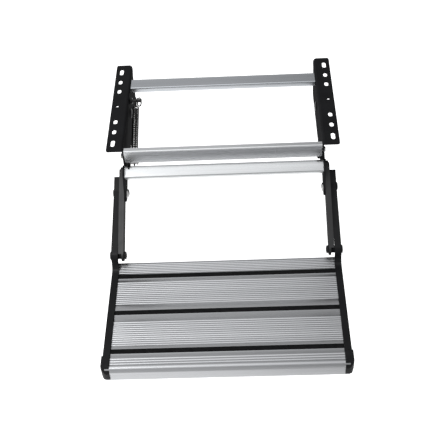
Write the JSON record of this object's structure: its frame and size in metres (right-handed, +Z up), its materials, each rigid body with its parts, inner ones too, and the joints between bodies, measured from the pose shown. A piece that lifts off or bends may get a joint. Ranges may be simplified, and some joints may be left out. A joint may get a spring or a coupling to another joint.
{
  "type": "tailgate step",
  "caption": "Fold-out single entrance step: a ribbed aluminium tread on swinging arms under two black steel brackets with cross tubes and a spring.",
  "frame": {"origin": "middle of the mounting plane, which is the top of the two bracket flanges", "axes": "+Z up towards the vehicle floor, -Y outwards (the way the step folds out), X across the doorway"},
  "size_m": [0.5, 0.7364, 0.225],
  "materials": {
    "black_steel": "satin black powder coat",
    "zinc_steel": "zinc plated",
    "black_plastic": "moulded, matt",
    "aluminium": "extruded, natural anodised",
    "rubber": "matt",
    "spring_steel": "dark oiled"
  },
  "bodies": {
    "frame": {"bracket_left": "black_steel", "bracket_right": "black_steel", "front_tube_screw_left": "zinc_steel", "front_tube_screw_right": "zinc_steel", "rear_tube_screw_left": "zinc_steel", "rear_tube_screw_right": "zinc_steel", "front_pivot_bolt_left": "zinc_steel", "front_pivot_bolt_right": "zinc_steel", "front_pivot_nut_left": "zinc_steel", "front_pivot_nut_right": "zinc_steel", "rear_pivot_spacer_left": "zinc_steel", "rear_pivot_spacer_right": "zinc_steel", "rear_pivot_bolt_left": "zinc_steel", "rear_pivot_bolt_right": "zinc_steel", "rear_pivot_nut_left": "zinc_steel", "rear_pivot_nut_right": "zinc_steel", "front_cross_tube": "aluminium", "rear_cross_tube": "aluminium", "spring_anchor_bolt": "zinc_steel", "spring_anchor_nut": "zinc_steel", "wire_ring": "spring_steel"},
    "front_arms": {"front_arm_left": "black_steel", "front_arm_right": "black_steel", "inner_plate_left": "black_steel", "inner_plate_right": "black_steel", "clamp_bolt_left": "zinc_steel", "clamp_bolt_right": "zinc_steel", "clamp_nut_left": "zinc_steel", "clamp_nut_right": "zinc_steel", "tie_bar": "aluminium", "spring_lug": "black_steel", "spring_pin": "zinc_steel"},
    "tread": {"side_plate_left": "black_steel", "side_plate_right": "black_steel", "nose_cap_left": "black_plastic", "nose_cap_right": "black_plastic", "lower_pivot_bolt_left": "zinc_steel", "lower_pivot_bolt_right": "zinc_steel", "lower_pivot_bush_left": "black_plastic", "lower_pivot_bush_right": "black_plastic", "lower_pivot_nut_left": "zinc_steel", "lower_pivot_nut_right": "zinc_steel", "upper_pivot_bolt_left": "zinc_steel", "upper_pivot_bolt_right": "zinc_steel", "upper_pivot_bush_left": "black_plastic", "upper_pivot_bush_right": "black_plastic", "upper_pivot_nut_left": "zinc_steel", "upper_pivot_nut_right": "zinc_steel", "plank_1": "aluminium", "plank_2": "aluminium", "plank_3": "aluminium", "plank_4": "aluminium", "grip_strip_1": "rubber", "grip_strip_2": "rubber", "grip_strip_3": "rubber"},
    "rear_link_left": {"rear_link_left": "black_steel"},
    "rear_link_right": {"rear_link_right": "black_steel"},
    "spring": {"spring_coil": "spring_steel"},
    "spring_hook": {"spring_hook": "spring_steel"}
  },
  "joints": [
    {"name": "arm_swing", "type": "hinge", "parent": "frame", "child": "front_arms", "pos_m": [0, -0.127, -0.082], "axis": [1, 0, 0], "range_deg": [0, 140]},
    {"name": "tread_level", "type": "hinge", "parent": "front_arms", "child": "tread", "pos_m": [0, -0.301, -0.168], "axis": [1, 0, 0], "range_deg": [-140, 0]},
    {"name": "rear_link_left_swing", "type": "hinge", "parent": "frame", "child": "rear_link_left", "pos_m": [-0.222, 0.02, -0.038], "axis": [1, 0, 0], "range_deg": [0, 140]},
    {"name": "rear_link_right_swing", "type": "hinge", "parent": "frame", "child": "rear_link_right", "pos_m": [0.222, 0.02, -0.038], "axis": [1, 0, 0], "range_deg": [0, 140]},
    {"name": "spring_swing", "type": "hinge", "parent": "frame", "child": "spring", "pos_m": [-0.199, 0.036, -0.015], "axis": [1, 0, 0], "range_deg": [0, 17]},
    {"name": "spring_stretch", "type": "slide", "parent": "spring", "child": "spring_hook", "axis": [0.0202, -0.9775, -0.2097], "range_m": [0, 0.03], "deforming": ["spring_hook"]}
  ],
  "couplings": [
    {"joint": "tread_level", "follows": "arm_swing", "ratio": -1},
    {"joint": "rear_link_left_swing", "follows": "arm_swing", "ratio": 1},
    {"joint": "rear_link_right_swing", "follows": "arm_swing", "ratio": 1},
    {"joint": "spring_swing", "follows": "arm_swing", "ratio": 0.11375},
    {"joint": "spring_stretch", "follows": "arm_swing", "m_per_rad": 0.01146}
  ]
}
